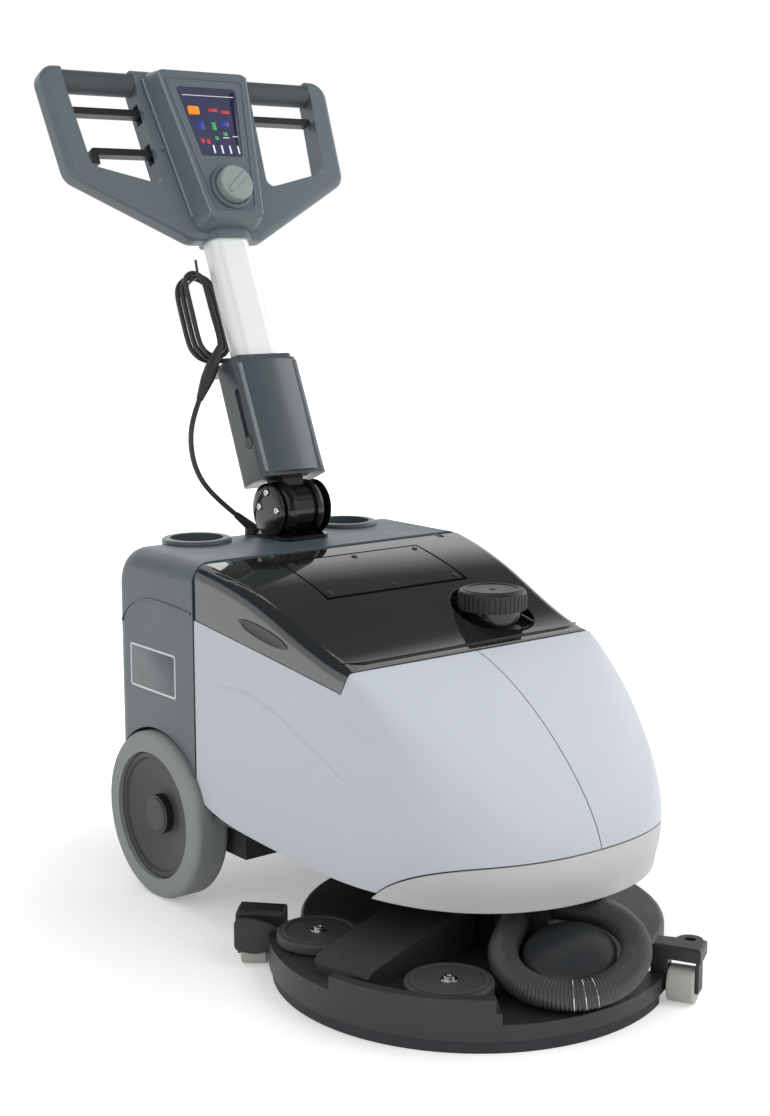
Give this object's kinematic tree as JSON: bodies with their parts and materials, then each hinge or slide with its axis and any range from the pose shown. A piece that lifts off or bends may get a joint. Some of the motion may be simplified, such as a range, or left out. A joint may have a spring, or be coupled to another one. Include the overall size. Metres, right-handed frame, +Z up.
{
  "type": "floor scrubber",
  "caption": "Compact walk-behind floor scrubber: tank body on rear wheels, swivelling brush deck with curved squeegee and suction hose, folding mast with a looped control handle.",
  "frame": {"origin": "middle of the footprint, on the floor", "axes": "+Z up, -Y the way the nose points, +X the machine's left as its operator sees it"},
  "size_m": [0.481, 0.8694, 0.9765],
  "materials": {
    "tyre_grey": "moulded grey non-marking rubber",
    "hub_plastic": "moulded dark grey plastic",
    "steel": "turned bright steel",
    "chassis_paint": "black powder coat on folded steel",
    "slate_plastic": "fine textured slate grey polyethylene",
    "light_shell": "satin light grey moulded plastic",
    "band_plastic": "matte light grey moulded plastic",
    "smoked_lid": "polished smoked black plastic",
    "black_plastic": "moulded black plastic",
    "black_gloss": "glossy black moulded plastic",
    "tube_metal": "silver anodised tube",
    "grip_rubber": "soft ribbed grip rubber",
    "display_glass": "dark blue printed membrane",
    "key_orange": "orange key",
    "dial_grey": "moulded grey dial",
    "cord_rubber": "black rubber cable sheath",
    "wire": "blackened bent wire",
    "deck_plastic": "moulded charcoal plastic",
    "motor_housing": "cast motor housing",
    "brush_fibre": "extruded brush fibre",
    "blade_rubber": "squeegee rubber",
    "roller_plastic": "pale grey moulded roller",
    "hose_plastic": "ribbed black suction hose",
    "tank_plastic": "blow-moulded tank",
    "battery_case": "sealed battery block"
  },
  "bodies": {
    "body": {"axle": "steel", "chassis_plate": "chassis_paint", "axle_carrier": "chassis_paint", "slewing_ring": "chassis_paint", "rear_housing": "slate_plastic", "cup_trays": "slate_plastic", "lid_hinge_pins": "steel", "nose_band": "band_plastic", "right_shell": "light_shell", "left_shell": "light_shell", "filler_neck": "black_plastic", "knuckle_base": "black_gloss", "knuckle_pin": "steel", "solution_tank": "tank_plastic", "recovery_tank": "tank_plastic", "batteries": "battery_case", "vacuum_motor": "motor_housing", "cord_gland": "black_plastic", "cord_lower": "cord_rubber"},
    "right_wheel": {"right_wheel_tyre": "tyre_grey", "right_wheel_hub": "hub_plastic", "right_wheel_bush": "roller_plastic"},
    "left_wheel": {"left_wheel_tyre": "tyre_grey", "left_wheel_hub": "hub_plastic", "left_wheel_bush": "roller_plastic"},
    "lid": {"tank_lid": "smoked_lid", "lid_panel": "smoked_lid", "panel_screws": "wire"},
    "cap": {"fill_cap": "black_plastic"},
    "mast": {"knuckle_head": "black_gloss", "mast_sleeve": "slate_plastic", "coil_hook": "wire", "cord_connector": "cord_rubber", "cord_coil": "cord_rubber", "cord_plug": "cord_rubber"},
    "lock": {"lock_button": "black_plastic"},
    "handle": {"mast_tube": "tube_metal", "handle_frame": "slate_plastic", "grips": "grip_rubber", "console_cover": "slate_plastic", "display_window": "display_glass", "lever_pins": "steel"},
    "right_hand_lever": {"right_lever": "black_plastic"},
    "left_hand_lever": {"left_lever": "black_plastic"},
    "release": {"release_lever": "black_plastic"},
    "dial": {"speed_dial": "dial_grey"},
    "key": {"start_key": "key_orange"},
    "deck": {"deck_shell": "deck_plastic", "brush_motor": "motor_housing", "squeegee_carrier": "deck_plastic", "squeegee_blades": "blade_rubber", "suction_dome": "deck_plastic", "suction_hose": "hose_plastic", "end_brackets": "black_plastic"},
    "brush": {"brush_block": "deck_plastic", "bristles": "brush_fibre"},
    "right_clamp": {"right_knob": "deck_plastic"},
    "left_clamp": {"left_knob": "deck_plastic"},
    "right_end_roller": {"right_roller": "roller_plastic"},
    "left_end_roller": {"left_roller": "roller_plastic"}
  },
  "joints": [
    {"name": "right_wheel_spin", "type": "hinge", "parent": "body", "child": "right_wheel", "pos_m": [-0.15836, 0.19192, 0.1], "axis": [1, 0, 0], "continuous": true},
    {"name": "left_wheel_spin", "type": "hinge", "parent": "body", "child": "left_wheel", "pos_m": [0.21664, 0.19192, 0.1], "axis": [1, 0, 0], "continuous": true},
    {"name": "lid_hinge", "type": "hinge", "parent": "body", "child": "lid", "pos_m": [0.02914, 0.10492, 0.405], "axis": [-1, 0, 0], "range_deg": [0, 75]},
    {"name": "cap_turn", "type": "hinge", "parent": "body", "child": "cap", "pos_m": [0.11414, -0.07608, 0.366], "axis": [0, 0, 1], "continuous": true},
    {"name": "mast_tilt", "type": "hinge", "parent": "body", "child": "mast", "pos_m": [0.02914, 0.19592, 0.447], "axis": [-1, 0, 0], "range_deg": [-110, 35], "deforming": ["cord_lower"]},
    {"name": "lock_press", "type": "slide", "parent": "mast", "child": "lock", "axis": [1, 0, 0], "range_m": [0, 0.003], "stiffness_N_per_m": 800},
    {"name": "mast_slide", "type": "slide", "parent": "mast", "child": "handle", "axis": [0, 0.3987, 0.9171], "range_m": [0, 0.12]},
    {"name": "right_lever_pull", "type": "hinge", "parent": "handle", "child": "right_hand_lever", "pos_m": [-0.03886, 0.40187, 0.92066], "axis": [0, 0.9171, -0.3987], "range_deg": [0, 7], "stiffness_Nm_per_rad": 4},
    {"name": "left_lever_pull", "type": "hinge", "parent": "handle", "child": "left_hand_lever", "pos_m": [0.09714, 0.40187, 0.92066], "axis": [0, -0.9171, 0.3987], "range_deg": [0, 7], "stiffness_Nm_per_rad": 4},
    {"name": "release_lever_pull", "type": "hinge", "parent": "handle", "child": "release", "pos_m": [-0.03886, 0.38074, 0.87206], "axis": [0, 0.9171, -0.3987], "range_deg": [0, 12], "stiffness_Nm_per_rad": 4},
    {"name": "dial_turn", "type": "hinge", "parent": "handle", "child": "dial", "pos_m": [0.02914, 0.32033, 0.83344], "axis": [0, -0.9171, 0.3987], "range_deg": [-135, 135]},
    {"name": "key_press", "type": "slide", "parent": "handle", "child": "key", "axis": [0, 0.9171, -0.3987], "range_m": [0, 0.0012], "stiffness_N_per_m": 900},
    {"name": "deck_swivel", "type": "hinge", "parent": "body", "child": "deck", "pos_m": [0.02914, -0.15808, 0.1], "axis": [0, 0, 1], "range_deg": [-95, 135]},
    {"name": "brush_spin", "type": "hinge", "parent": "deck", "child": "brush", "pos_m": [0.02914, -0.15808, 0.025], "axis": [0, 0, 1], "continuous": true},
    {"name": "right_knob_turn", "type": "hinge", "parent": "deck", "child": "right_clamp", "pos_m": [-0.17028, -0.12674, 0.0488], "axis": [0, 0, 1], "continuous": true},
    {"name": "left_knob_turn", "type": "hinge", "parent": "deck", "child": "left_clamp", "pos_m": [-0.14745, -0.30997, 0.0488], "axis": [0, 0, 1], "continuous": true},
    {"name": "right_roller_spin", "type": "hinge", "parent": "deck", "child": "right_end_roller", "pos_m": [-0.1975, -0.04748, 0.019], "axis": [-0.7443, 0.6678, 0], "continuous": true},
    {"name": "left_roller_spin", "type": "hinge", "parent": "deck", "child": "left_end_roller", "pos_m": [0.08678, -0.40359, 0.019], "axis": [0.4863, -0.8738, 0], "continuous": true}
  ]
}
